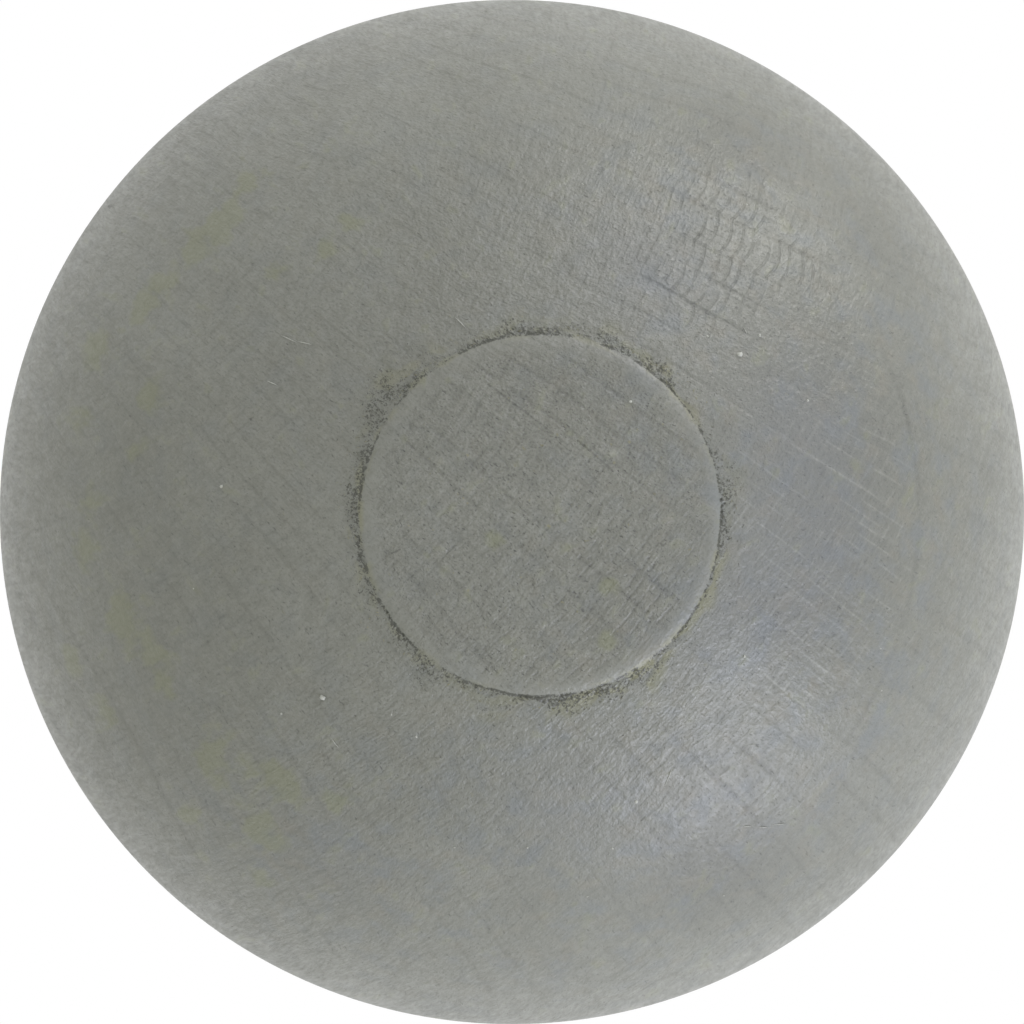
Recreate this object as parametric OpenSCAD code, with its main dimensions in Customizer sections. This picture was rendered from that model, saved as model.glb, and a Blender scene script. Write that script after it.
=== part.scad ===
// Turned wooden ball end cap for a round rod.
// One piece of hardwood: a ball with a low round boss on its front pole and a
// blind socket for the rod in a flat seat on its back pole.
// The origin is the centre of the socket's mouth, in the plane of the seat.
// +Z runs along the socket and the grain of the wood, towards the boss.

/* [Ball] */
// Diameter of the ball
ball_d = 50; // [36:1:80]

/* [Boss] */
// Diameter of the boss
boss_d = 17; // [8:0.5:26]
// Height of the boss's corner, if it were left sharp, over the line where its wall would meet the plain ball
boss_rise = 0.4; // [0.35:0.05:2]
// Radius of the domed face of the boss
boss_dome_r = 40; // [26:1:120]
// Radius of the rounded edge of the boss face
boss_edge_r = 0.3; // [0.1:0.05:0.3]

/* [Foot groove] */
// Radius of the half-round groove that the tool leaves round the foot of the boss
groove_r = 0.25; // [0.1:0.05:0.6]

/* [Rod socket] */
// Diameter of the rod that the cap is pushed onto
rod_d = 20; // [10:0.5:24]
// Clearance between the rod and the wall of the socket, on the radius
rod_clearance = 0.1; // [0.05:0.05:0.4]
// Depth of the socket from the seat to its flat floor
socket_depth = 22; // [8:0.5:26]
// Width of the flat seat round the socket, measured on the radius
seat_w = 2; // [1:0.1:4]
// Width of the 45 degree chamfer at the socket's mouth
mouth_chamfer = 0.5; // [0.2:0.1:0.9]

/* [Drill mark] */
// Diameter of the mark that the drill's centre spur leaves in the socket's floor
spur_d = 3; // [1:0.5:6]
// Depth of that mark
spur_depth = 1.6; // [0.5:0.1:3]

/* [Hidden] */
$fn = 128;
wood = "#82837c";
over = 1;     // how far a cutter runs past the face that it cuts
hair = 0.001; // lift that makes a rounded edge cross the face that it is tangent to, so that no sliver is left

ball_r = ball_d / 2;
boss_r = boss_d / 2;
socket_r = rod_d / 2 + rod_clearance;
seat_r = socket_r + seat_w;
spur_r = spur_d / 2;

// Height of a sphere's surface over its centre, at the distance r from the vertical through the centre
function sphere_height(sphere_r, r) = sqrt(sphere_r * sphere_r - r * r);

centre_z = sphere_height(ball_r, seat_r);          // centre of the ball over the seat
foot_z = centre_z + sphere_height(ball_r, boss_r); // where the boss wall meets the plain ball

edge_ring_r = boss_r - boss_edge_r;        // radius of the circle that the rounded edge is swept along
inner_dome_r = boss_dome_r - boss_edge_r;  // dome that the circle lies on, parallel to the face of the boss
dome_z = foot_z + boss_rise - sphere_height(boss_dome_r, boss_r);  // centre of the domed face
edge_z = dome_z + sphere_height(inner_dome_r, edge_ring_r) + hair; // height of the circle
face_r = edge_ring_r * boss_dome_r / inner_dome_r;  // where the domed face turns into its rounded edge

// The ball, cut off flat at the seat and, inside the boss, halfway up the boss wall
module turned_ball() {
    intersection() {
        translate([0, 0, centre_z]) sphere(r = ball_r);
        cylinder(r = ball_r + over, h = (foot_z + edge_z) / 2);
    }
}

// Half section of the boss, rooted at the centre of the ball: a wall, a domed face and a rounded edge tangent to both
module boss_section() {
    translate([0, centre_z]) square([boss_r, edge_z - centre_z]);
    intersection() {
        translate([0, dome_z]) circle(r = boss_dome_r);
        translate([0, centre_z]) square([face_r, ball_d]);
    }
    translate([edge_ring_r, edge_z]) circle(r = boss_edge_r);
}

module boss() {
    rotate_extrude() boss_section();
}

// Half-round groove that runs round the boss, tangent to its wall where that meets the plain ball
module foot_groove() {
    translate([0, 0, foot_z]) rotate_extrude()
        translate([boss_r + groove_r, 0]) circle(r = groove_r);
}

// Blind socket with a chamfered mouth, a flat floor and the drill's spur mark
module rod_socket() {
    translate([0, 0, -over]) cylinder(r = socket_r, h = socket_depth + over);
    translate([0, 0, -over])
        cylinder(r1 = socket_r + mouth_chamfer + over, r2 = socket_r, h = mouth_chamfer + over);
    translate([0, 0, socket_depth]) cylinder(r1 = spur_r, r2 = 0, h = spur_depth);
}

module ball() {
    color(wood) difference() {
        union() {
            turned_ball();
            boss();
        }
        foot_groove();
        rod_socket();
    }
}

ball();
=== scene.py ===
import math

import bpy
import numpy as np
from mathutils import Matrix, Vector


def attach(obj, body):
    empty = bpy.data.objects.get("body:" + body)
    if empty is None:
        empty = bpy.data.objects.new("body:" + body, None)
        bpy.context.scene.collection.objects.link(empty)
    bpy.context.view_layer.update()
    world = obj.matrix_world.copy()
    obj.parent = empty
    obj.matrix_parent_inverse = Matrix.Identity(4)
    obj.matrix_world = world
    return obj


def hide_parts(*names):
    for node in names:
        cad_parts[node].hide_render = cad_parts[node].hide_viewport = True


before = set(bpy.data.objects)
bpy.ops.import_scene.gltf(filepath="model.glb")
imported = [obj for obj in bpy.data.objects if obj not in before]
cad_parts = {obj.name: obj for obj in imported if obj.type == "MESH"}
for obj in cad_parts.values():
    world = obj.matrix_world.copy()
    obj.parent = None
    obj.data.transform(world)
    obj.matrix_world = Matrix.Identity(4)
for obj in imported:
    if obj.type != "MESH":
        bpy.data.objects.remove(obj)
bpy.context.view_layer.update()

# ---------------------------------------------------------------- sizes in mm, unless a name says otherwise

MM = 0.001

BALL_R = 25.0
BOSS_R = 8.5
BOSS_RISE = 0.18       # the boss's corner, if it were sharp, over the plain ball below it
BOSS_DOME_R = 40.0     # radius of the boss's domed face
EDGE_FROM_R = 8.00     # the boss's edge is sanded round and runs into the ball between these radii
EDGE_TO_R = 8.60
EDGE_FALL = 1.7        # the edge falls by the share of that way to this power: steepest at the foot
FOOT_R = 10.3          # the torn grain round the boss ends inside this radius
SOCKET_R = 10.1
SOCKET_DEPTH = 22.0
SEAT_R = 12.1
MOUTH_CHAMFER = 0.5
SPUR_R = 1.5
SPUR_DEPTH = 1.6
SOFT_EDGE = 0.12       # sanding takes this much off the corners of the seat

PITH = (-47.3, 40.3)   # the tree's centre, beside the ball: rings run round it and rays out from it
PITH_TO_AXIS = math.hypot(*PITH)


def sphere_height(sphere_r, r):
    """Height of a sphere's surface over its centre, at the distance r from its upright axis."""
    return np.sqrt(np.maximum(sphere_r ** 2 - r ** 2, 0.0))


CENTRE_Z = float(sphere_height(BALL_R, SEAT_R))
FOOT_Z = CENTRE_Z + float(sphere_height(BALL_R, BOSS_R))
DOME_Z = FOOT_Z + BOSS_RISE - float(sphere_height(BOSS_DOME_R, BOSS_R))

# ---------------------------------------------------------------- camera

CAMERA_DISTANCE = 720.0          # from the ball's centre
CAMERA_TILT_X = math.radians(-3.27)   # it looks down the axis, leaning by these angles
CAMERA_TILT_Y = math.radians(0.39)
SENSOR = 36.0
CLIP_START = 0.05                # metres
VIEW_SIDE = 1024                 # pixels
BALL_IN_VIEW = 512.2             # radius of the ball's outline, in pixels

BALL_CENTRE = np.array([0.0, 0.0, CENTRE_Z])
outline_slope = math.tan(math.asin(BALL_R / CAMERA_DISTANCE))
LENS = SENSOR / 2 * BALL_IN_VIEW / (VIEW_SIDE / 2) / outline_slope
to_camera = np.array([math.tan(CAMERA_TILT_X), math.tan(CAMERA_TILT_Y), 1.0])
to_camera /= np.linalg.norm(to_camera)
view_right = np.cross([0.0, 1.0, 0.0], to_camera)
view_right /= np.linalg.norm(view_right)
view_up = np.cross(to_camera, view_right)
CAMERA_PLACE = BALL_CENTRE + to_camera * CAMERA_DISTANCE


def make_camera():
    """A long lens looks down on the ball from above its boss, a little from one side."""
    data = bpy.data.cameras.new("camera")
    data.lens = LENS
    data.sensor_width = SENSOR
    data.clip_start = CLIP_START
    camera = bpy.data.objects.new("camera", data)
    bpy.context.scene.collection.objects.link(camera)
    camera.location = Vector(CAMERA_PLACE * MM)
    turn = np.stack([view_right, view_up, to_camera], axis=1)
    camera.rotation_mode = "QUATERNION"
    camera.rotation_quaternion = Matrix(turn.tolist()).to_quaternion()
    bpy.context.scene.camera = camera


def seen_at(pixels):
    """Points of the wood that show at these pixels: each pixel's ray is cut with the ball, and with the
    boss's dome where that is met inside the boss."""
    pixels = np.atleast_2d(np.asarray(pixels, float))
    side = (pixels - (VIEW_SIDE - 1) / 2) * SENSOR / VIEW_SIDE / LENS
    ray = side[:, :1] * view_right - side[:, 1:2] * view_up - to_camera
    ray /= np.linalg.norm(ray, axis=1, keepdims=True)

    def meet(centre, radius):
        gap = CAMERA_PLACE - centre
        half = ray @ gap
        root = np.sqrt(np.maximum(half ** 2 - gap @ gap + radius ** 2, 0.0))
        return CAMERA_PLACE + ray * (-half - root)[:, None]

    on_ball = meet(BALL_CENTRE, BALL_R)
    on_boss = meet(np.array([0.0, 0.0, DOME_Z]), BOSS_DOME_R)
    inside = np.hypot(on_boss[:, 0], on_boss[:, 1]) < BOSS_R
    return np.where(inside[:, None], on_boss, on_ball)


# ---------------------------------------------------------------- mesh making

def mesh_object(name, points_mm, faces):
    """A mesh object at the origin, with its place in its points, which are given in millimetres."""
    mesh = bpy.data.meshes.new(name)
    mesh.from_pydata((points_mm * MM).tolist(), [], faces)
    mesh.polygons.foreach_set("use_smooth", np.full(len(mesh.polygons), True))
    mesh.update()
    made = bpy.data.objects.new(name, mesh)
    bpy.context.scene.collection.objects.link(made)
    return made


def point_value(made, name, values):
    """Keeps one number a point on the mesh, for a material to read."""
    layer = made.data.attributes.new(name, "FLOAT", "POINT")
    layer.data.foreach_set("value", np.asarray(values, np.float32))


def ring(radius, height, columns):
    """A closed ring of points round the axis. Its radius and height may change from column to column."""
    turn = np.arange(columns) * 2 * np.pi / columns
    radius = np.broadcast_to(radius, turn.shape)
    height = np.broadcast_to(height, turn.shape)
    return np.stack([radius * np.cos(turn), radius * np.sin(turn), height], axis=1)


def strip(first, first_count, second, second_count):
    """Faces between two neighbouring rings: four-sided where both have as many points, and three triangles
    to a step where one has twice as many as the other. They face left of the way from first to second."""
    few = np.arange(min(first_count, second_count))
    if first_count == second_count:
        after = (few + 1) % first_count
        return np.stack([first + few, second + few, second + after, first + after], axis=1).tolist()
    many = max(first_count, second_count)
    after, left, middle, right = (few + 1) % len(few), 2 * few, 2 * few + 1, (2 * few + 2) % many
    if first_count < second_count:
        corners = [(first + few, second + left, second + middle),
                   (first + few, second + middle, first + after),
                   (first + after, second + middle, second + right)]
    else:
        corners = [(first + left, second + few, first + middle),
                   (first + middle, second + few, second + after),
                   (first + middle, second + after, first + right)]
    return np.concatenate([np.stack(c, axis=1) for c in corners]).tolist()


def random_field(rng, rows, columns, row_reach, column_reach):
    """Smooth random relief on a grid that closes round its columns: white noise blurred by a bell curve
    whose reach is given in grid steps, then scaled to a spread of one."""
    noise = rng.standard_normal((2 * rows, columns))
    down = np.fft.fftfreq(2 * rows)[:, None]
    along = np.fft.rfftfreq(columns)[None, :]
    bell = np.exp(-2 * (np.pi * down * row_reach) ** 2 - 2 * (np.pi * along * column_reach) ** 2)
    field = np.fft.irfft2(np.fft.rfft2(noise) * bell, s=noise.shape)[:rows]
    return field / field.std()


def ease(low, high, value):
    """Nought below low, one above high, and a smooth S between."""
    t = np.clip((value - low) / (high - low), 0.0, 1.0)
    return t * t * (3 - 2 * t)


# ---------------------------------------------------------------- the torn grain round the boss

# Azimuth from +X in degrees, width of the torn strip in mm, how badly it is torn, and how bare of stain
TORN_ROUND_THE_BOSS = (
    (0, 0.95, 0.66, 0.20), (14, 1.10, 0.64, 0.20), (28, 0.90, 0.60, 0.40), (40, 1.00, 0.60, 0.50),
    (52, 0.95, 0.60, 0.55), (65, 1.05, 0.60, 0.50), (80, 1.30, 0.64, 0.35), (95, 1.10, 0.62, 0.30),
    (110, 1.10, 0.60, 0.30), (125, 1.40, 0.58, 0.40), (140, 1.70, 0.60, 0.40), (155, 1.60, 0.63, 0.30),
    (170, 1.30, 0.72, 0.55), (182, 0.80, 0.80, 0.80), (195, 0.60, 0.70, 0.50), (210, 0.70, 0.66, 0.30),
    (228, 0.90, 0.66, 0.35), (240, 1.10, 0.68, 0.30), (252, 1.40, 0.74, 0.30), (266, 1.50, 0.76, 0.40),
    (280, 1.40, 0.76, 0.60), (295, 1.20, 0.70, 0.80), (310, 0.90, 0.62, 0.85), (325, 0.60, 0.50, 0.60),
    (340, 0.80, 0.50, 0.80),
)
FINE = 1024            # columns round the boss's edge and the torn strip: a step of 0.054 mm
EDGE_RINGS = 14        # rings over the boss's edge, and over the torn strip, where they crowd to the foot
STRIP_RINGS = 21
STRIP_CROWDING = 1.35
TORN_SEED = 5
SLOW_WANDER = 0.02     # how far the boss's edge strays in long and in short waves
QUICK_WANDER = 0.012
TORN_DEPTH = 0.015     # how deep the torn grain lies, and its pits and its waves more than that
PIT_DEPTH = 0.07
WAVE_DEPTH = 0.015
HIGHEST_TORN = 0.02    # and no torn grain stands higher than this over the plain wood
CHAIN_IN = 0.04        # the row of small pits runs this far inside EDGE_TO_R, straying by the next number
CHAIN_WANDER = 0.025
CHAIN_HALF = 0.05      # its half width and depth
CHAIN_DEPTH = 0.035
FUZZ_REACH = 1.6       # loose fuzz thins out over this much of the ball beyond the foot
BALL_GRAIN = 0.57      # how strongly the grain shows on the well sanded ball, against one on the boss
SIDE_GRAIN = 0.36      # and on the ball's sides, where long grain sands smoother than end grain
RUBBED_GRAIN = 0.45    # and on the boss's edge, which is rubbed smoothest


def torn_round(azimuth):
    """Width, badness and bareness of the torn strip at these azimuths, in radians, along straight lines
    between the listed places."""
    turn, width, bad, bare = np.array(TORN_ROUND_THE_BOSS, float).T
    degrees = np.degrees(azimuth) % 360
    return tuple(np.interp(degrees, turn, v, period=360) for v in (width, bad, bare))


def torn_foot(rng):
    """Edge and foot of the boss, on rings from EDGE_FROM_R to FOOT_R. The height falls from the dome to the
    ball as a power of the share of the way from EDGE_FROM_R to EDGE_TO_R. From that it goes down by torn
    (TORN_DEPTH + PIT_DEPTH pits + WAVE_DEPTH waves), where torn is the strip's badness, rising just before
    the foot and easing to nought at the strip's width beyond it, and pits are the high parts of a random
    field. A broken row of small pits runs along the foot, CHAIN_DEPTH exp(-(distance / CHAIN_HALF)^2) deep.
    Also returned are how torn each point looks, with painted shade laid over the row of pits in the corner
    at the foot, and how bare of stain each point looks."""
    azimuth = np.arange(FINE) * 2 * np.pi / FINE
    width, bad, bare = torn_round(azimuth)
    over_edge = np.linspace(EDGE_FROM_R, EDGE_TO_R, EDGE_RINGS)[:-1]
    over_strip = EDGE_TO_R + (FOOT_R - EDGE_TO_R) * np.linspace(0, 1, STRIP_RINGS) ** STRIP_CROWDING
    radius = np.concatenate([over_edge, over_strip])[:, None]
    rows = len(radius)

    def round_foot(reach):
        """Random values round the foot, one a column, with this reach in columns."""
        return random_field(rng, 1, FINE, 0.5, reach)

    def all_over(reach_out, reach_round):
        """Random values for each ring and column, with these reaches in rings and in columns."""
        return random_field(rng, rows, FINE, reach_out, reach_round)

    wander = SLOW_WANDER * round_foot(25) + QUICK_WANDER * round_foot(4)
    ball = CENTRE_Z + sphere_height(BALL_R, radius)
    dome = DOME_Z + sphere_height(BOSS_DOME_R, radius)
    strayed = radius + wander * ease(EDGE_FROM_R, EDGE_TO_R, radius)
    share = (strayed - EDGE_FROM_R) / (EDGE_TO_R - EDGE_FROM_R)
    edge = np.clip(share, 0, 1) ** EDGE_FALL

    gap = radius - EDGE_TO_R
    ragged = width * np.maximum(1 + 0.40 * round_foot(9)[0], 0.2)
    clumps = ease(-2.2, 0.8, all_over(3.0, 9))
    torn = bad * ease(-0.16, -0.02, gap) * (1 - ease(0.05 * ragged, ragged, gap)) * (0.4 + 0.5 * clumps)
    pits = np.maximum(all_over(0.6, 0.9) - 0.5, 0)
    waves = all_over(2.0, 5)
    line = EDGE_TO_R - CHAIN_IN + CHAIN_WANDER * round_foot(8)
    broken = np.clip(0.55 + 0.6 * round_foot(1.6) + 0.6 * round_foot(6), 0, 1.6)
    chain = np.exp(-((radius - line) / CHAIN_HALF) ** 2) * broken * bad
    deep = torn * (TORN_DEPTH + PIT_DEPTH * pits + WAVE_DEPTH * waves) + CHAIN_DEPTH * chain
    deep = np.maximum(deep, -HIGHEST_TORN)
    height = dome + (ball - dome) * edge - deep

    fuzz = 0.45 * bad * ease(-0.05, 0.1, gap) * (1 - ease(0, FUZZ_REACH, gap)) * clumps
    # The row of pits also darkens the colour here: painted shade in the corner at the boss's foot, besides
    # the torn grain's own dark.
    torn_look_and_foot_shade = np.clip(np.maximum(torn * (1.15 + 0.3 * pits), fuzz) + 1.1 * chain, 0, 1)
    spots = ease(-0.3, 0.7, all_over(2.0, 6))
    bareness = bare * spots * ease(-0.35, -0.05, gap) * (1 - ease(0.3 * ragged, ragged, gap))
    return radius + 0 * height, height, torn_look_and_foot_shade, bareness


POLE_R = 0.1           # radius of the ring next to a pole
DOME_RINGS = 56
BALL_RINGS = 93
LEAST_COLUMNS = 16     # in the ring next to the top's pole; they double outwards while a step is too wide
WIDEST_STEP = 0.14
DOME_COLUMNS = 512
BALL_COLUMNS = 256
NEAR_FOOT_RINGS = 5    # the ball's first rings, next to the foot, keep the dome's columns
SIDE_FROM, SIDE_TO = 0.5, 1.35   # leans, in radians, between which end grain turns to long grain
RUBBED_WIDTH = 0.6     # the dome is rubbed smooth over this width inside its edge
GRAIN_BLEND = 0.1      # and the rubbed edge meets the ball's grain over this much to each side


def turned_wood():
    """The ball, boss and socket as one closed skin: rings of points from the top of the boss outwards and
    down to the seat, and back up inside the socket to the drill's mark."""
    rng = np.random.default_rng(TORN_SEED)
    rings, kept = [], {"torn": [], "bare": [], "open_grain": []}

    def lay(radius, height, columns, torn=0.0, bare=0.0, open_grain=BALL_GRAIN):
        rings.append(ring(radius, height, columns))
        for values, value in zip(kept.values(), (torn, bare, open_grain)):
            values.append(np.broadcast_to(value, (columns,)))

    # domed face, rubbed smooth near its edge
    for radius in np.linspace(POLE_R, EDGE_FROM_R, DOME_RINGS)[:-1]:
        columns = LEAST_COLUMNS
        while columns < DOME_COLUMNS and 2 * np.pi * radius / columns > WIDEST_STEP:
            columns *= 2
        rubbed = ease(EDGE_FROM_R - RUBBED_WIDTH, EDGE_FROM_R, radius)
        lay(radius, DOME_Z + sphere_height(BOSS_DOME_R, radius), columns,
            open_grain=1 + (RUBBED_GRAIN - 1) * rubbed)
    # edge and torn foot
    for radius, height, torn, bare in zip(*torn_foot(rng)):
        out = ease(EDGE_TO_R - GRAIN_BLEND, EDGE_TO_R + GRAIN_BLEND, radius)
        lay(radius, height, FINE, torn, bare, open_grain=RUBBED_GRAIN + (BALL_GRAIN - RUBBED_GRAIN) * out)
    # ball
    from_top = math.asin(FOOT_R / BALL_R)
    to_seat = math.pi - math.asin((SEAT_R + SOFT_EDGE) / BALL_R)
    for count, lean in enumerate(np.linspace(from_top, to_seat, BALL_RINGS)[1:]):
        side = float(ease(SIDE_FROM, SIDE_TO, lean))
        columns = DOME_COLUMNS if count < NEAR_FOOT_RINGS else BALL_COLUMNS
        lay(BALL_R * math.sin(lean), CENTRE_Z + BALL_R * math.cos(lean), columns,
            open_grain=BALL_GRAIN + (SIDE_GRAIN - BALL_GRAIN) * side)
    # seat, mouth, socket and drill's mark, with corners blunted by a few hundredths of a millimetre
    floor = SOCKET_DEPTH
    mouth_r = SOCKET_R + MOUTH_CHAMFER
    corners = [(SEAT_R + 0.03, 0.025), (SEAT_R - SOFT_EDGE, 0.0), (mouth_r + SOFT_EDGE, 0.0),
               (mouth_r - 0.02, 0.03), (SOCKET_R + 0.04, MOUTH_CHAMFER - 0.03),
               (SOCKET_R, MOUTH_CHAMFER + SOFT_EDGE)]
    corners += [(SOCKET_R, z) for z in np.linspace(MOUTH_CHAMFER + 2, floor - 0.1, 12)]
    corners += [(SOCKET_R - 0.03, floor - 0.03), (SOCKET_R - 0.1, floor)]
    corners += [(r, floor) for r in np.linspace(SOCKET_R - 1, SPUR_R + 0.1, 8)]
    corners += [(SPUR_R - 0.02, floor + 0.03), (SPUR_R / 2, floor + SPUR_DEPTH / 2),
                (POLE_R, floor + SPUR_DEPTH - 0.08)]
    for radius, height in corners:
        lay(radius, height, BALL_COLUMNS)

    counts = [len(r) for r in rings]
    starts = np.concatenate([[0], np.cumsum(counts)])
    faces = []
    for k in range(len(rings) - 1):
        faces += strip(starts[k], counts[k], starts[k + 1], counts[k + 1])
    top, bottom = starts[-1], starts[-1] + 1
    poles = np.array([[0, 0, DOME_Z + BOSS_DOME_R], [0, 0, floor + SPUR_DEPTH]])
    near, last = np.arange(counts[0]), starts[-2] + np.arange(counts[-1])
    faces += np.stack([0 * near + top, near, np.roll(near, -1)], axis=1).tolist()
    faces += np.stack([last, 0 * last + bottom, np.roll(last, -1)], axis=1).tolist()
    made = mesh_object("turned_ball", np.concatenate(rings + [poles]), faces)
    for name, values in kept.items():
        point_value(made, name, np.concatenate(values + [values[0][:1], values[-1][:1]]))
    return made


# ---------------------------------------------------------------- patches and marks of the stained wood

# Each table down to UNEVEN_STAIN_AND_SHEEN lists patches of the wood: pixels where one shows in the view, how far it
# reaches in mm, and how strong it is where that isn't one.
# Blotches where the stain is thin
BLOTCHES = (
    (245, 183, 0.9), (222, 219, 1.1), (196, 243, 1.1), (276, 269, 0.6), (157, 287, 1.1), (95, 350, 1.2),
    (152, 395, 0.9), (82, 421, 0.8), (137, 451, 0.7), (88, 500, 0.8), (85, 548, 1.0), (125, 620, 1.5),
    (111, 714, 0.8), (212, 760, 1.3), (271, 773, 0.9), (261, 829, 1.3), (338, 799, 0.8), (261, 878, 0.7),
    (186, 816, 0.7), (347, 220, 0.6), (325, 247, 0.6), (495, 540, 0.5), (605, 585, 0.5), (608, 638, 0.5),
    (142, 304, 0.8), (70, 660, 0.9), (158, 660, 0.9), (165, 690, 0.6), (290, 787, 0.7),
)
# Where the growth rings bow outwards between the rays
FIGURE = (
    (745, 235, 3.2), (690, 285, 2.6), (805, 285, 2.0), (640, 590, 2.4, 0.4), (740, 770, 3.5, 0.6),
    (650, 780, 3.0, 0.35),
)
# Where the turning tool's lines show
TURNED = (
    (905, 430, 3.0), (918, 520, 3.0), (915, 610, 3.0), (880, 700, 3.0), (740, 560, 1.2), (680, 380, 1.2),
)
# Where the wood is paler or, below nought, darker: partly uneven stain, and partly painted light and painted
# shade.
# Painted highlights lie in the upper right's gloss and near the foot at the lower right, with a painted
# paler top rim and painted shade on the right and the left.
STAIN_AND_PAINTED_LIGHT = (
    (855, 490, 6.5, -0.16), (745, 640, 3.5, -0.05), (500, 45, 8.0, 0.05), (250, 260, 7.0, 0.05),
    (700, 330, 3.5, 0.05), (250, 800, 6.0, -0.04), (120, 500, 6.0, -0.05), (745, 245, 3.0, 0.07),
    (700, 815, 3.5, -0.06), (970, 500, 5.0, -0.05), (700, 600, 2.5, 0.05), (820, 345, 4.0, -0.08),
    (840, 690, 3.0, -0.06), (832, 615, 3.0, -0.09), (725, 860, 4.5, -0.11), (700, 880, 3.5, -0.05),
    (745, 150, 3.5, -0.11), (880, 240, 3.5, -0.11), (736, 672, 2.0, 0.12), (360, 580, 6.0, 0.03),
    (470, 600, 4.5, 0.04), (530, 460, 4.0, 0.03),
)
# Where rays and rings are paler than the stain on the lit right: partly the lines' own paler colour, and
# partly painted highlight where the lamps catch their ridges
PALE_RAYS_AND_GLINTS = ((840, 430, 5.0), (760, 510, 3.0, 0.8), (850, 560, 5.0), (800, 660, 4.0), (700, 680, 2.5, 0.6))
# Where the wood is bluer: partly the stain's own blue-grey, and partly a painted bluish sheen where the cool
# lamps' gloss falls on the right
BLUE_STAIN_AND_SHEEN = (
    (800, 440, 4.0), (800, 560, 4.0), (730, 640, 3.0), (650, 270, 3.0, 0.7), (560, 800, 4.0, 0.5),
    (330, 860, 3.0, 0.4),
)
# Where the grain was sanded smoother
SMOOTHED = ((700, 790, 8.0, 0.8), (590, 850, 6.5, 0.8))
# Where the stain took unevenly, most on the lit highlights and the right: partly real, and there partly a
# painted bluish sheen and painted shade
UNEVEN_STAIN_AND_SHEEN = ((760, 250, 8), (850, 480, 9), (760, 740, 9), (560, 880, 9), (330, 860, 5))


def patches(made, name, places, least):
    """A value on each point of the mesh: the least, and a bell about each of these places, which is
    exp(-(distance / reach)^2) times the fourth number where there is one."""
    count = len(made.data.vertices)
    points = np.empty(count * 3)
    made.data.vertices.foreach_get("co", points)
    points = points.reshape(-1, 3) / MM
    total = np.full(count, least)
    for x, y, reach, *most in places:
        gap = points - seen_at((x, y))
        total += (most[0] if most else 1.0) * np.exp(-(gap ** 2).sum(axis=1) / reach ** 2)
    point_value(made, name, np.minimum(total, 1))


# Marks in the stain: from pixel to pixel in the view, half width in mm, and how much paler or, below nought,
# darker. The last four are pale rays on the lit right: partly their own paler colour, and partly painted
# highlight along their ridges.
MARKS_AND_RAY_GLINTS = (
    (488, 384, 528, 414, 0.07, -0.24), (528, 414, 566, 444, 0.06, -0.16), (578, 440, 596, 456, 0.07, -0.40),
    (596, 456, 612, 470, 0.06, -0.20), (592, 528, 604, 541, 0.05, -0.14), (205, 800, 310, 950, 0.09, -0.22),
    (108, 205, 110, 207, 0.10, -0.35), (660, 543, 662, 545, 0.08, -0.35), (580, 608, 582, 610, 0.09, -0.40),
    (396, 480, 402, 484, 0.06, -0.35), (391, 553, 399, 549, 0.05, -0.30), (611, 453, 615, 451, 0.15, 0.24),
    (694, 363, 788, 419, 0.06, 0.07), (788, 419, 880, 469, 0.05, 0.06), (757, 522, 845, 584, 0.06, 0.09),
    (725, 604, 800, 650, 0.05, 0.06),
)
MARK_FROM, MARK_TO = 1.3, 0.2    # a mark fades between these distances from its middle, in half widths,
MARK_RAGGED = 2.4                # which the grit shifts to and fro by as much as this over two
# Faint lines that the turning tool left round the axis: radius in mm, and how dark
TOOL_LINES = ((18.5, -0.15), (9.7, -0.08), (11.6, -0.08))
TOOL_LINE_HALF = 0.22


# ---------------------------------------------------------------- slivers and dust

def slivers(name, start, end, lift, radius, height=1.0):
    """Thin slivers with three sides. A point at the share u of the length is start + u (end - start), raised
    by lift 4u(1 - u) along the way out of the ball. The section's radius is radius (0.15 + 0.85 sin(pi u)),
    and that times height along the way out. Returns the object and which sliver each point belongs to."""
    steps, sides = 5, 3
    share = np.linspace(0, 1, steps)
    arch = 4 * share * (1 - share)
    middle = (start + end) / 2
    out = middle - BALL_CENTRE
    out /= np.linalg.norm(out, axis=1, keepdims=True)
    along = end - start
    along /= np.linalg.norm(along, axis=1, keepdims=True)
    side = np.cross(along, out)
    spine = start[:, None] + (end - start)[:, None] * share[None, :, None]
    spine = spine + (lift[:, None] * arch)[:, :, None] * out[:, None]
    thick = radius[:, None] * (0.15 + 0.85 * np.sin(np.pi * share))
    corner = np.arange(sides) * 2 * np.pi / sides + np.pi / 2
    points = (spine[:, :, None]
              + (thick[:, :, None] * np.cos(corner))[..., None] * side[:, None, None]
              + (height * thick[:, :, None] * np.sin(corner))[..., None] * out[:, None, None])
    count = len(start)
    each = steps * sides
    base = (np.arange(count) * each)[:, None, None]
    row, col = np.meshgrid(np.arange(steps - 1), np.arange(sides), indexing="ij")
    here, there = row * sides + col, row * sides + (col + 1) % sides
    quads = np.stack([base + here, base + there, base + there + sides, base + here + sides], axis=-1)
    quads = quads.reshape(-1, 4)
    first = np.stack([base + 2, base + 1, base], axis=-1).reshape(-1, sides)
    final = np.stack([base + each - 3, base + each - 2, base + each - 1], axis=-1).reshape(-1, sides)
    faces = quads.tolist() + first.tolist() + final.tolist()
    made = mesh_object(name, points.reshape(-1, 3), faces)
    return made, np.repeat(np.arange(count), each)


FIBRE_COUNT = 480
FIBRE_SEED = 11
FIBRE_LENGTH = (0.08, 0.26)    # least and most
FIBRE_R = (0.008, 0.018)
FIBRE_LIFT = (0.01, 0.05)
FIBRE_SUNK = 0.03      # how far under the plain wood its ends lie


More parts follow.
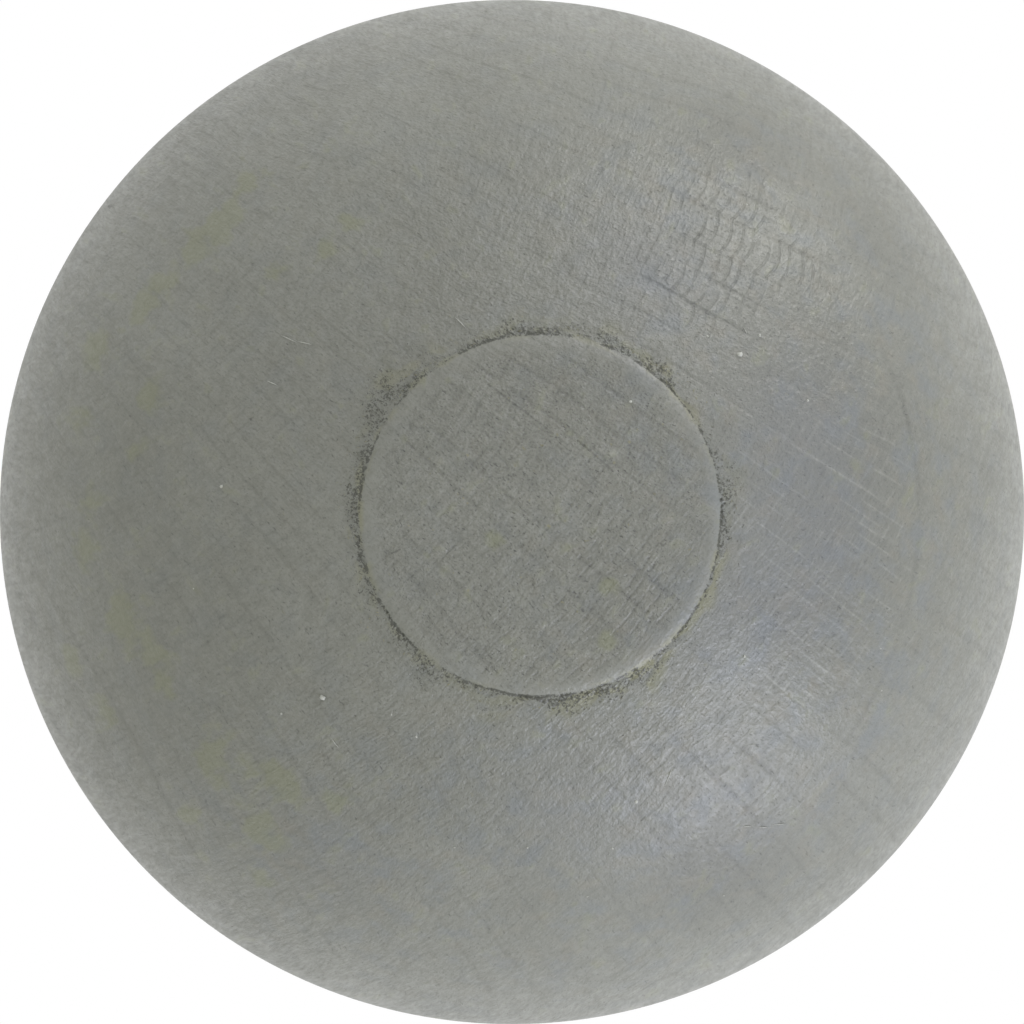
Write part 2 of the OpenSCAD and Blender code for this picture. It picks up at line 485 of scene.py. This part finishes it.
def torn_fibres():
    """Fibres pulled up round the foot of the boss, most where it is torn worst: each lies on the ball at a
    random place of the torn strip and at a random angle to the way round."""
    rng = np.random.default_rng(FIBRE_SEED)
    many = FIBRE_COUNT * 6
    azimuth = rng.uniform(0, 2 * np.pi, many)
    width, bad, bare = torn_round(azimuth)
    keep = np.flatnonzero(rng.uniform(0, 1.3, many) < bad * width)[:FIBRE_COUNT]
    azimuth, width, bare = azimuth[keep], width[keep], bare[keep]
    count = len(keep)
    gap = 0.04 + (0.25 + width) * np.abs(rng.normal(0, 0.5, count))
    length = rng.uniform(*FIBRE_LENGTH, count)
    heading = azimuth + np.pi / 2 + rng.normal(0, 0.7, count)
    thick = rng.uniform(*FIBRE_R, count)
    middle = np.stack([(EDGE_TO_R + gap) * np.cos(azimuth), (EDGE_TO_R + gap) * np.sin(azimuth)], axis=1)
    reach = np.stack([np.cos(heading), np.sin(heading)], axis=1) * length[:, None] / 2
    ends = []
    for flat in (middle - reach, middle + reach):
        radius = np.hypot(flat[:, 0], flat[:, 1])
        flat = flat * (np.maximum(radius, EDGE_TO_R) / radius)[:, None]
        radius = np.maximum(radius, EDGE_TO_R)
        ends.append(np.column_stack([flat, CENTRE_Z + sphere_height(BALL_R, radius) - FIBRE_SUNK]))
    made, owner = slivers("torn_fibres", ends[0], ends[1], rng.uniform(*FIBRE_LIFT, count), thick)
    pale = rng.uniform(0, 1, count) < 0.25 + 0.6 * bare
    tone = np.where(pale, rng.uniform(0.55, 1.0, count), rng.uniform(0.0, 0.45, count))
    point_value(made, "tone", tone[owner])
    return made


# Ends of the lint's hairs, in pixels of the view
LINT = (
    (455, 317, 465, 327), (281, 335, 296, 342), (297, 341, 311, 344), (266, 380, 277, 385),
    (741, 826, 752, 825), (758, 826, 768, 827), (772, 824, 786, 823), (673, 764, 663, 789),
    (743, 327, 746, 333), (331, 738, 338, 747),
)
LINT_LIFT = 0.03
LINT_R = 0.028
LINT_FLATNESS = 0.4    # a hair's height, as a share of its width


def lint():
    """Pale hairs on the stain: slivers laid straight from end to end."""
    ends = np.array(LINT, float)
    start, end = seen_at(ends[:, :2]), seen_at(ends[:, 2:])
    count = len(ends)
    made, _ = slivers("lint", start, end, np.full(count, LINT_LIFT), np.full(count, LINT_R), LINT_FLATNESS)
    return made


# Grains of dust in the view: pixels, and size in mm
DUST = (
    (221, 486, 0.10), (322, 697, 0.14), (739, 354, 0.15), (759, 335, 0.09), (630, 401, 0.07),
    (807, 400, 0.06), (880, 648, 0.05), (881, 690, 0.05), (636, 801, 0.09), (744, 656, 0.08),
    (193, 588, 0.05), (391, 714, 0.05), (281, 713, 0.05), (416, 736, 0.06), (454, 847, 0.05),
    (527, 847, 0.05), (612, 848, 0.05), (587, 896, 0.05), (723, 895, 0.05), (582, 184, 0.05),
    (746, 204, 0.05), (707, 336, 0.06),
)
DUST_SEED = 3


def dust():
    """Grains on the stain: each is a ball of six sides and four steps, squashed, uneven and half sunk."""
    rng = np.random.default_rng(DUST_SEED)
    listed = np.array(DUST, float)
    place = seen_at(listed[:, :2])
    around, rows = 6, 3
    turn, lean = np.meshgrid(np.arange(around) * 2 * np.pi / around,
                             np.arange(1, rows + 1) * np.pi / (rows + 1), indexing="xy")
    ball = np.stack([np.cos(turn) * np.sin(lean), np.sin(turn) * np.sin(lean), np.cos(lean)], axis=-1)
    ball = np.concatenate([[[0, 0, 1]], ball.reshape(-1, 3), [[0, 0, -1]]])
    uneven = rng.uniform(0.7, 1.3, (len(place), len(ball), 1))
    stretch = rng.uniform(0.7, 1.3, (len(place), 1, 3)) * np.array([1, 1, 0.7])
    points = place[:, None] + ball * uneven * stretch * listed[:, 2][:, None, None]
    base = (np.arange(len(place)) * len(ball))[:, None]
    here = np.arange(around)
    after = (here + 1) % around
    last_row = 1 + (rows - 1) * around
    pole = last_row + around
    faces = []
    for tri in ((0 * here, 1 + here, 1 + after), (pole + 0 * here, last_row + after, last_row + here)):
        faces += np.stack([base + t for t in tri], axis=-1).reshape(-1, 3).tolist()
    for row in range(1, last_row, around):
        quad = (row + here, row + around + here, row + around + after, row + after)
        faces += np.stack([base + q for q in quad], axis=-1).reshape(-1, 4).tolist()
    return mesh_object("dust", points.reshape(-1, 3), faces)


# ---------------------------------------------------------------- materials

# Sockets of a Mix node that mixes colours: its share, its two colours, and what comes out
SHARE, FIRST, SECOND, MIXED = 0, 6, 7, 2
LACQUER_IOR = 1.5
ROUGHEST = 0.55            # satin lacquer's roughness, over open and over filled grain
SMOOTHEST = 0.36
LACQUER_GLOSS = 0.7        # a thin coat over filled pores, somewhat glossier than bare wood
WOOD_IOR = 1.5
DUST_GRAIN = MM / 9        # its uneven whiteness has a scale of about 0.1 mm


def linear(code):
    """An sRGB hex colour as the linear colour that a shader takes."""
    parts = [int(code[k:k + 2], 16) / 255 for k in (1, 3, 5)]
    return (*[p / 12.92 if p <= 0.04045 else ((p + 0.055) / 1.055) ** 2.4 for p in parts], 1.0)


def add(tree, kind, inputs=None, **settings):
    """Adds a node with these settings. Each input, by name or number, is a value, another node's socket, or
    a node, whose first output is taken."""
    node = tree.nodes.new(kind)
    for name, value in settings.items():
        setattr(node, name, value)
    for key, value in (inputs or {}).items():
        if isinstance(value, bpy.types.Node):
            value = value.outputs[0]
        if isinstance(value, bpy.types.NodeSocket):
            tree.links.new(value, node.inputs[key])
        else:
            node.inputs[key].default_value = value
    return node


def weighed(tree, terms, total=0.0):
    """The sum of value times weight over (value, weight) pairs."""
    for value, weight in terms:
        total = add(tree, "ShaderNodeMath", {0: value, 1: weight, 2: total}, operation="MULTIPLY_ADD")
    return total


def new_material(name):
    """An empty material and its node tree."""
    material = bpy.data.materials.new(name)
    material.use_nodes = True
    material.node_tree.nodes.clear()
    return material, material.node_tree


# Sizes of the wood's random patterns in mm, outwards from the pith, round it and up the trunk, and their
# octaves. Beech pores are 0.05 to 0.08 mm wide. They are drawn a little coarser, as one pixel of the view
# is 0.05 mm.
GRAIN = {
    "pores": ((0.080, 0.075, 1.2), 2.0),
    "grit": ((0.17, 0.16, 2.0), 2.0),
    "streaks": ((0.11, 0.42, 3.0), 1.0),
    "cells": ((0.28, 0.42, 3.0), 1.0),
    "mottle": ((0.8, 1.0, 5.0), 2.0),
    "cloud": ((6.0, 6.0, 14.0), 1.0),
    "specks": ((0.13, 0.10, 1.0), 1.0),
    "flecks": ((0.26, 0.08, 1.0), 1.0),
    "straw": ((0.35, 0.30, 2.0), 2.0),
    "waver": ((3.2, 3.2, 9.0), 1.0),
    "ray_life": ((10.0, 1.1, 5.0), 1.0),
    "fine_ray_life": ((3.0, 0.5, 1.5), 1.0),
    "ring_life": ((1.6, 1.1, 9.0), 1.0),
    "tool_life": ((6.0, 6.0, 6.0), 1.0),
}
RAY_STEP = 1.45        # mm from one broad ray to the next, and its half width
RAY_HALF = 0.095
RAY_SCATTER = 0.55
FINE_RAY_STEP = 0.42
FINE_RAY_HALF = 0.04
RING_STEP = 0.62       # mm from one growth ring to the next, and the half width of its dark line
RING_HALF = 0.06
RING_BULGE = 0.17      # mm that a ring bows outwards between two broad rays, where the figure is full
RING_WAVER = 0.5
SWAY = 0.8             # mm by which the whole grain sways, in waves of about 7 mm
SWAY_SCALE = 0.14
FIGURE_LIFE = 0.10     # figured wood has more live lines
SMOOTHED_LINES = -0.3  # how much fainter lines are in smooth wood, as a share of their plain darkness
BOSS_LINES = 0.8       # and how much darker on the boss

# For each kind of line: its step, unevenness and half width, the noise that says where it lives and between
# which values of that it fades in, and how dark it is where there is no figure
LINES = {
    "rays": (RAY_STEP, RAY_SCATTER, RAY_HALF, "ray_life", 0.42, 0.60, 0.18),
    "fine_rays": (FINE_RAY_STEP, 0.9, FINE_RAY_HALF, "fine_ray_life", 0.46, 0.64, 0.35),
    "rings": (RING_STEP, 0.8, RING_HALF, "ring_life", 0.42, 0.62, 0.20),
}
LINE_EDGES = (1.8, 0.2)    # a line fades in between these distances from its middle, in half widths
# Values of its noise between which each kind of spot, and the tool's lines, fade in
SPOTS = {"specks": (0.58, 0.72), "flecks": (0.68, 0.76), "straw": (0.66, 0.76)}
TOOL_LIFE = (0.30, 0.50)

# How strongly each pattern colours the stain, stands out of the wood and roughens the gloss
GRAIN_TONE = {"pores": 0.38, "grit": 0.30, "streaks": 0.18, "cells": 0.22, "mottle": 0.28}
SPOT_TONE = {"specks": -0.22, "flecks": -0.52}
# pale lines: partly their own paler colour, partly painted highlight along their ridges
PALE_LINE_AND_GLINT_TONE = {"rays": 0.13, "fine_rays": 0.18, "rings": 0.15}
LINE_TONE = {"cloud": 0.14, "dark_rays": -0.22, "dark_fine_rays": -0.07, "dark_rings": -0.15,
             "tool_marks": 1.0, "marks": 1.0}
GRAIN_RELIEF = {"pores": 0.6, "grit": 2.2, "streaks": 1.0, "cells": 1.7, "mottle": 3.6}
LINE_RELIEF = {"dark_rays": -1.4, "dark_fine_rays": -0.3, "dark_rings": -1.0,
               "specks": -0.4, "flecks": -0.6}
GRAIN_GLOSS = {"grit": 0.4, "cells": 0.35, "mottle": 0.25}
GRAIN_LIFT = 0.03          # makes up for some of what specks and flecks darken
PLAIN_TONE = 0.523         # tone of the plain stain, from nought to one along its colours
OPEN_GRAIN_TONE = -0.12    # open grain drinks more stain, so the boss is darker than the ball
RELIEF_DEPTH = 0.03 * MM
RUBBED_RELIEF = 0.6        # share of the relief that the rubbed edge keeps
SMOOTHED_RELIEF = -0.42    # and what smooth sanding takes off elsewhere
# A hole is where torn wood, the noises and their weights add up high; thin stain is ragged by the mottle
HOLE_TORN = 0.60
HOLE_GRAIN = {"pores": 1.1, "grit": 1.0, "cells": 0.25}
RAGGED = 2.2

# Where the stain took unevenly: the patches' scale per mm, between which values of their noise the tint
# fades in, how far, and the tint. The first is bluer, and on the lit highlights and the right it is partly a
# painted bluish sheen and painted shade; the second lets the wood's brown through.
UNEVEN_TINTS = ((0.6, 0.46, 0.70, 0.26, "#6c7682"), (0.8, 0.50, 0.72, 0.22, "#87806f"))
# Tints laid one over another: between which values each fades in, how far, and the tint
TINTS = {
    # the bluer tint is partly a painted bluish sheen on the lit right side
    "blue_stain_and_sheen": (0.0, 1.0, 0.22, "#727785"),
    "straw": (0.4, 1.0, 0.45, "#857f52"),
    "thin_stain": (0.26, 0.72, 0.44, "#7e8160"),
    # torn wood, and along the foot's row of pits painted shade in the corner
    "torn": (0.0, 1.0, 0.28, "#5e6256"),
    "bare": (0.0, 1.0, 0.50, "#8c8a5f"),
    "hole": (1.51, 1.69, 0.85, "#3b3c32"),
}


def beech_pattern(tree):
    """Beech as a solid, as named values. Its coordinates are the distance from the pith, the distance round
    it and the height along the trunk, so end grain shows on the boss and long grain on the sides. Thin
    lines lie at uneven steps: rays where the way round the pith passes them, and rings where the distance
    from the pith does, which bow outwards between two rays by the square of the distance from the middle
    between them."""
    place = add(tree, "ShaderNodeTexCoord").outputs["Object"]
    mm = add(tree, "ShaderNodeMapping", {"Vector": place, "Location": (-PITH[0], -PITH[1], 0.0),
                                         "Scale": (1 / MM, 1 / MM, 1 / MM)})
    sway = add(tree, "ShaderNodeTexNoise", {"Vector": mm, "Scale": SWAY_SCALE, "Detail": 1.0})
    mm_swayed = add(tree, "ShaderNodeVectorMath", {0: sway.outputs["Color"], 1: (SWAY, SWAY, 0.0), 2: mm},
                    operation="MULTIPLY_ADD")
    split = add(tree, "ShaderNodeSeparateXYZ", {0: mm_swayed})
    flat = add(tree, "ShaderNodeVectorMath", {0: mm_swayed, 1: (1, 1, 0)}, operation="MULTIPLY")
    from_pith = add(tree, "ShaderNodeVectorMath", {0: flat}, operation="LENGTH").outputs["Value"]
    angle = add(tree, "ShaderNodeMath", {0: split.outputs[1], 1: split.outputs[0]}, operation="ARCTAN2")
    across = add(tree, "ShaderNodeMath", {0: angle, 1: PITH_TO_AXIS}, operation="MULTIPLY")
    along = add(tree, "ShaderNodeCombineXYZ", {0: from_pith, 1: across, 2: split.outputs[2]})

    wood = {"mm": mm, "tool_marks": 0.0, "marks": 0.0}
    for name, (size, octaves) in GRAIN.items():
        scale = tuple(1 / side for side in size)
        share = add(tree, "ShaderNodeVectorMath", {0: along, 1: scale}, operation="MULTIPLY")
        wood[name] = add(tree, "ShaderNodeTexNoise", {"Vector": share, "Detail": octaves, "Scale": 1.0})

    figure = add(tree, "ShaderNodeAttribute", attribute_name="figure").outputs["Fac"]
    smoothed = add(tree, "ShaderNodeAttribute", attribute_name="smoothed").outputs["Fac"]
    open_grain = add(tree, "ShaderNodeAttribute", attribute_name="open_grain").outputs["Fac"]
    on_boss = add(tree, "ShaderNodeMapRange", {"Value": open_grain, "From Min": BALL_GRAIN})
    scaled = add(tree, "ShaderNodeMath", {0: across, 1: 1 / RAY_STEP}, operation="MULTIPLY")
    middle = add(tree, "ShaderNodeTexVoronoi", {"W": scaled, "Scale": 1.0, "Randomness": RAY_SCATTER},
                 voronoi_dimensions="1D", feature="F1")
    bow = add(tree, "ShaderNodeMath", {0: middle, 1: middle}, operation="MULTIPLY")
    bow = add(tree, "ShaderNodeMath", {0: bow, 1: figure}, operation="MULTIPLY")
    ring_place = weighed(tree, [(from_pith, 1.0), (bow, 4 * RING_BULGE), (wood["waver"], RING_WAVER)])

    for name, (step, scatter, half, life, low, high, plain) in LINES.items():
        position = ring_place if name == "rings" else across
        scaled = add(tree, "ShaderNodeMath", {0: position, 1: 1 / step}, operation="MULTIPLY")
        edge = add(tree, "ShaderNodeTexVoronoi", {"W": scaled, "Scale": 1.0, "Randomness": scatter},
                   voronoi_dimensions="1D", feature="DISTANCE_TO_EDGE")
        outer, inner = (share * half / step for share in LINE_EDGES)
        line = add(tree, "ShaderNodeMapRange", {"Value": edge, "From Min": outer, "From Max": inner},
                   interpolation_type="SMOOTHSTEP")
        alive = weighed(tree, [(figure, FIGURE_LIFE)], wood[life])
        lives = add(tree, "ShaderNodeMapRange", {"Value": alive, "From Min": low, "From Max": high},
                    interpolation_type="SMOOTHSTEP")
        stained = add(tree, "ShaderNodeMapRange", {"Value": figure, "To Min": plain, "To Max": 1.0})
        stained = weighed(tree, [(smoothed, SMOOTHED_LINES * plain), (on_boss, BOSS_LINES * plain)], stained)
        wood[name] = add(tree, "ShaderNodeMath", {0: line, 1: lives}, operation="MULTIPLY")
        wood["dark_" + name] = add(tree, "ShaderNodeMath", {0: wood[name], 1: stained}, operation="MULTIPLY")

    from_axis = add(tree, "ShaderNodeVectorMath", {0: place, 1: (1 / MM, 1 / MM, 0.0)}, operation="MULTIPLY")
    from_axis = add(tree, "ShaderNodeVectorMath", {0: from_axis}, operation="LENGTH").outputs["Value"]
    turned = add(tree, "ShaderNodeAttribute", attribute_name="turned").outputs["Fac"]
    low, high = TOOL_LIFE
    lives = add(tree, "ShaderNodeMapRange", {"Value": wood["tool_life"], "From Min": low, "From Max": high})
    lives = add(tree, "ShaderNodeMath", {0: lives, 1: turned}, operation="MULTIPLY")
    for radius, dark in TOOL_LINES:
        gap = add(tree, "ShaderNodeMath", {0: from_axis, 1: radius}, operation="SUBTRACT")
        gap = add(tree, "ShaderNodeMath", {0: gap}, operation="ABSOLUTE")
        line = add(tree, "ShaderNodeMapRange", {"Value": gap, "From Min": TOOL_LINE_HALF, "From Max": 0.0},
                   interpolation_type="SMOOTHSTEP")
        wood["tool_marks"] = weighed(tree, [(line, dark)], wood["tool_marks"])
    wood["tool_marks"] = add(tree, "ShaderNodeMath", {0: wood["tool_marks"], 1: lives}, operation="MULTIPLY")

    ends = seen_at(np.array(MARKS_AND_RAY_GLINTS)[:, :4].reshape(-1, 2)).reshape(-1, 2, 3) - np.array([*PITH, 0.0])
    for (start, end), (*_, half, pale) in zip(ends, MARKS_AND_RAY_GLINTS):
        way = end - start
        gap = add(tree, "ShaderNodeVectorMath", {0: mm, 1: start}, operation="SUBTRACT")
        share = add(tree, "ShaderNodeVectorMath", {0: gap, 1: way / (way @ way)}, operation="DOT_PRODUCT")
        share = add(tree, "ShaderNodeClamp", {0: share.outputs["Value"]})
        near = add(tree, "ShaderNodeVectorMath", {0: way, "Scale": share}, operation="SCALE")
        gap = add(tree, "ShaderNodeVectorMath", {0: gap, 1: near}, operation="DISTANCE").outputs["Value"]
        gap = weighed(tree, [(gap, 1 / half), (wood["grit"], MARK_RAGGED)], -MARK_RAGGED / 2)
        line = add(tree, "ShaderNodeMapRange", {"Value": gap, "From Min": MARK_FROM, "From Max": MARK_TO},
                   interpolation_type="SMOOTHSTEP")
        wood["marks"] = weighed(tree, [(line, pale)], wood["marks"])

    for name, (low, high) in SPOTS.items():
        wood[name] = add(tree, "ShaderNodeMapRange",
                         {"Value": wood[name], "From Min": low, "From Max": high},
                         interpolation_type="SMOOTHSTEP")
    return wood


def stained_beech():
    """European beech, turned and sanded, stained grey and thinly lacquered: rays and growth rings show as
    faint dark lines and as relief in the light, over fine pores, with a satin sheen that pales towards the
    rim."""
    material, tree = new_material("stained_beech")
    wood = beech_pattern(tree)
    seen = {name: add(tree, "ShaderNodeAttribute", attribute_name=name).outputs["Fac"]
            for name in ("open_grain", "thin_stain", "stain_and_painted_light", "pale_rays_and_glints", "blue_stain_and_sheen", "smoothed",
                         "uneven_stain_and_sheen", "torn", "bare")}

    def of_wood(weights):
        return [(wood[name], weight) for name, weight in weights.items()]

    fine = weighed(tree, of_wood(GRAIN_TONE), GRAIN_LIFT - sum(GRAIN_TONE.values()) / 2)
    fine = weighed(tree, of_wood(SPOT_TONE), fine)
    # paler lines on the lit right: partly their own paler colour, partly painted highlight on their ridges
    pale = weighed(tree, of_wood(PALE_LINE_AND_GLINT_TONE))
    pale = add(tree, "ShaderNodeMath", {0: seen["pale_rays_and_glints"], 1: pale}, operation="MULTIPLY")
    tone = weighed(tree, of_wood(LINE_TONE), PLAIN_TONE)
    # These patches bring in uneven stain, and also painted light and painted shade.
    tone = weighed(tree, [(pale, 1.0), (seen["stain_and_painted_light"], 1.0), (seen["open_grain"], OPEN_GRAIN_TONE)],
                   tone)
    tone = add(tree, "ShaderNodeMath", {0: fine, 1: seen["open_grain"], 2: tone}, operation="MULTIPLY_ADD")
    stain = add(tree, "ShaderNodeValToRGB", {0: tone})
    ramp = stain.color_ramp
    ramp.elements[0].color = linear("#4c4d47")
    ramp.elements[1].color = linear("#a6a7a1")
    ramp.elements.new(0.5).color = linear("#7a7b73")
    colour = stain.outputs[0]

    # patches where the stain took unevenly, and on the lit highlights and the right a painted bluish sheen
    # and painted shade
    for scale, low, high, most, tint in UNEVEN_TINTS:
        patch = add(tree, "ShaderNodeTexNoise", {"Vector": wood["mm"], "Scale": scale, "Detail": 4.0})
        share = add(tree, "ShaderNodeMapRange",
                    {"Value": patch, "From Min": low, "From Max": high, "To Max": most},
                    interpolation_type="SMOOTHSTEP")
        # on the lit highlights and the right these patches are partly a painted bluish sheen and painted
        # shade
        share = add(tree, "ShaderNodeMath", {0: share, 1: seen["uneven_stain_and_sheen"]}, operation="MULTIPLY")
        colour = add(tree, "ShaderNodeMix", {SHARE: share, FIRST: colour, SECOND: linear(tint)},
                     data_type="RGBA").outputs[MIXED]

    # blue spots, partly a painted bluish sheen on the lit right, straw spots, thin stain in blotches, torn
    # and bare wood, and holes in the torn grain, with painted shade in the corner along the foot's row of
    # pits
    straw = add(tree, "ShaderNodeMath", {0: wood["straw"], 1: seen["open_grain"]}, operation="MULTIPLY")
    ragged = weighed(tree, [(seen["thin_stain"], 1.0), (wood["mottle"], RAGGED)], -RAGGED / 2)
    hole = weighed(tree, [(seen["torn"], HOLE_TORN)] + of_wood(HOLE_GRAIN))
    laid = {"blue_stain_and_sheen": seen["blue_stain_and_sheen"], "straw": straw, "thin_stain": ragged,
            "torn": seen["torn"], "bare": seen["bare"], "hole": hole}
    for name, (low, high, most, tint) in TINTS.items():
        share = add(tree, "ShaderNodeMapRange",
                    {"Value": laid[name], "From Min": low, "From Max": high, "To Max": most})
        colour = add(tree, "ShaderNodeMix", {SHARE: share, FIRST: colour, SECOND: linear(tint)},
                     data_type="RGBA").outputs[MIXED]

    # relief, less where the wood was rubbed or sanded smoother
    height = weighed(tree, of_wood(GRAIN_RELIEF), -sum(GRAIN_RELIEF.values()) / 2)
    height = weighed(tree, of_wood(LINE_RELIEF), height)
    kept = add(tree, "ShaderNodeMapRange", {"Value": seen["open_grain"], "From Min": RUBBED_GRAIN,
                                            "From Max": BALL_GRAIN, "To Min": RUBBED_RELIEF})
    kept = weighed(tree, [(seen["smoothed"], SMOOTHED_RELIEF)], kept)
    height = add(tree, "ShaderNodeMath", {0: height, 1: kept}, operation="MULTIPLY")
    bump = add(tree, "ShaderNodeBump", {"Height": height, "Strength": 1.0, "Distance": RELIEF_DEPTH})
    gloss = weighed(tree, of_wood(GRAIN_GLOSS))
    rough = add(tree, "ShaderNodeMapRange", {"Value": gloss, "From Min": 0.35, "From Max": 0.65,
                                             "To Min": ROUGHEST, "To Max": SMOOTHEST})
    shader = add(tree, "ShaderNodeBsdfPrincipled",
                 {"Base Color": colour, "Roughness": rough, "IOR": LACQUER_IOR,
                  "Specular IOR Level": LACQUER_GLOSS, "Normal": bump})
    add(tree, "ShaderNodeOutputMaterial", {0: shader})
    return material


def torn_beech_fibre():
    """Beech fibre torn off across the grain: dark where the stain soaked in, and straw where it didn't."""
    material, tree = new_material("torn_beech_fibre")
    tone = add(tree, "ShaderNodeAttribute", attribute_name="tone").outputs["Fac"]
    ramp = add(tree, "ShaderNodeValToRGB", {0: tone})
    ramp.color_ramp.elements[0].color = linear("#4b4a3f")
    ramp.color_ramp.elements[1].color = linear("#a39d78")
    ramp.color_ramp.elements.new(0.5).color = linear("#7c7b6c")
    shader = add(tree, "ShaderNodeBsdfPrincipled", {"Base Color": ramp, "Roughness": 0.7, "IOR": WOOD_IOR})
    add(tree, "ShaderNodeOutputMaterial", {0: shader})
    return material


def pale_dust():
    """Sanding dust and lint caught in the lacquer: near white and matt, in grains of about 0.1 mm."""
    material, tree = new_material("pale_dust")
    place = add(tree, "ShaderNodeTexCoord").outputs["Object"]
    speck = add(tree, "ShaderNodeTexNoise", {"Vector": place, "Scale": 1 / DUST_GRAIN})
    colour = add(tree, "ShaderNodeMix", {SHARE: speck, FIRST: linear("#a9aaa2"), SECOND: linear("#d2d3cd")},
                 data_type="RGBA").outputs[MIXED]
    shader = add(tree, "ShaderNodeBsdfPrincipled", {"Base Color": colour, "Roughness": 0.6, "IOR": WOOD_IOR})
    add(tree, "ShaderNodeOutputMaterial", {0: shader})
    return material


# ---------------------------------------------------------------- studio

FLOOR_SIDE = 8.0           # metres
FLOOR_DROP = 0.05 * MM     # the floor lies this far under the seat
ROOM_LIGHT = 0.70          # strength of the room's light, and its colour in linear light
ROOM_COLOUR = (0.987, 1.0, 0.948, 1.0)
WHITE = (1.0, 1.0, 1.0, 1.0)
LAMP_DISTANCE = 0.60       # metres from the ball's centre

# Azimuth from +X and elevation in degrees, side in metres, power in watts, and colour
LAMPS = {
    "upper_lamp": (49, 1, 0.12, 1.13, "#fffefa"),
    "upper_fill": (62, 30, 0.30, 0.78, "#eaeaff"),
    "lower_lamp": (-51, 14, 0.30, 1.93, "#ebeeff"),
}


def straight_or_mirrored(tree):
    """One for rays from the camera, off gloss or through glass, and nought for the rest."""
    path = add(tree, "ShaderNodeLightPath").outputs
    seen = add(tree, "ShaderNodeMath", {0: path["Is Camera Ray"], 1: path["Is Glossy Ray"]},
               operation="MAXIMUM")
    return add(tree, "ShaderNodeMath", {0: seen, 1: path["Is Transmission Ray"]}, operation="MAXIMUM")


def pale_floor():
    """A wide pale floor. It shows plain white to the camera and gloss, and paper white under the lamps to
    the object. Seen from below it is clear, so the seat can be looked at."""
    half, under = FLOOR_SIDE / 2, -FLOOR_DROP
    corners = [(-half, -half, under), (half, -half, under), (half, half, under), (-half, half, under)]
    mesh = bpy.data.meshes.new("floor")
    mesh.from_pydata(corners, [], [(0, 1, 2, 3)])
    floor = bpy.data.objects.new("floor", mesh)
    bpy.context.scene.collection.objects.link(floor)
    material, tree = new_material("white_paper")
    seen = straight_or_mirrored(tree)
    paper = add(tree, "ShaderNodeBsdfDiffuse", {"Color": linear("#f2f2f0")}).outputs[0]
    glow = add(tree, "ShaderNodeEmission", {"Color": WHITE, "Strength": 1.0}).outputs[0]
    lit = add(tree, "ShaderNodeMixShader", {0: seen, 1: paper, 2: glow}).outputs[0]
    clear = add(tree, "ShaderNodeBsdfTransparent").outputs[0]
    back = add(tree, "ShaderNodeNewGeometry").outputs["Backfacing"]
    done = add(tree, "ShaderNodeMixShader", {0: back, 1: lit, 2: clear}).outputs[0]
    add(tree, "ShaderNodeOutputMaterial", {0: done})
    floor.data.materials.append(material)


def white_room():
    """Even light from all round, which the camera and gloss see as plain white."""
    world = bpy.data.worlds.new("room")
    world.use_nodes = True
    tree = world.node_tree
    tree.nodes.clear()
    seen = straight_or_mirrored(tree)
    light = add(tree, "ShaderNodeBackground", {"Color": ROOM_COLOUR, "Strength": ROOM_LIGHT}).outputs[0]
    white = add(tree, "ShaderNodeBackground", {"Color": WHITE, "Strength": 1.0}).outputs[0]
    mixed = add(tree, "ShaderNodeMixShader", {0: seen, 1: light, 2: white}).outputs[0]
    add(tree, "ShaderNodeOutputWorld", {0: mixed})
    bpy.context.scene.world = world


def soft_lamp(name, azimuth, elevation, side, watts, colour):
    """A square soft lamp at this azimuth and elevation from the ball's centre, aimed at the ball."""
    data = bpy.data.lights.new(name, "AREA")
    data.shape = "SQUARE"
    data.size = side
    data.energy = watts
    data.color = linear(colour)[:3]
    lamp = bpy.data.objects.new(name, data)
    bpy.context.scene.collection.objects.link(lamp)
    turn, lean = math.radians(azimuth), math.radians(elevation)
    way = Vector((math.cos(turn) * math.cos(lean), math.sin(turn) * math.cos(lean), math.sin(lean)))
    lamp.location = Vector(BALL_CENTRE * MM) + way * LAMP_DISTANCE
    lamp.rotation_mode = "QUATERNION"
    lamp.rotation_quaternion = way.to_track_quat("Z", "Y")
    lamp.visible_camera = False


make_camera()
pale_floor()
white_room()
for lamp_name, lamp_values in LAMPS.items():
    soft_lamp(lamp_name, *lamp_values)

# ---------------------------------------------------------------- the cap

wood = turned_wood()
for value_name, places, least in (
        ("thin_stain", BLOTCHES, 0.0), ("figure", FIGURE, 0.15), ("pale_rays_and_glints", PALE_RAYS_AND_GLINTS, 0.0),
        ("blue_stain_and_sheen", BLUE_STAIN_AND_SHEEN, 0.0), ("smoothed", SMOOTHED, 0.0), ("turned", TURNED, 0.0),
        ("stain_and_painted_light", STAIN_AND_PAINTED_LIGHT, 0.0), ("uneven_stain_and_sheen", UNEVEN_STAIN_AND_SHEEN, 0.3)):
    patches(wood, value_name, places, least)
fibres = torn_fibres()
hairs = lint()
grains = dust()
wood.data.materials.append(stained_beech())
fibres.data.materials.append(torn_beech_fibre())
dust_material = pale_dust()
hairs.data.materials.append(dust_material)
grains.data.materials.append(dust_material)

for piece in (wood, fibres, hairs, grains):
    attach(piece, "root")
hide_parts("ball")

bpy.context.scene.view_settings.view_transform = "Standard"
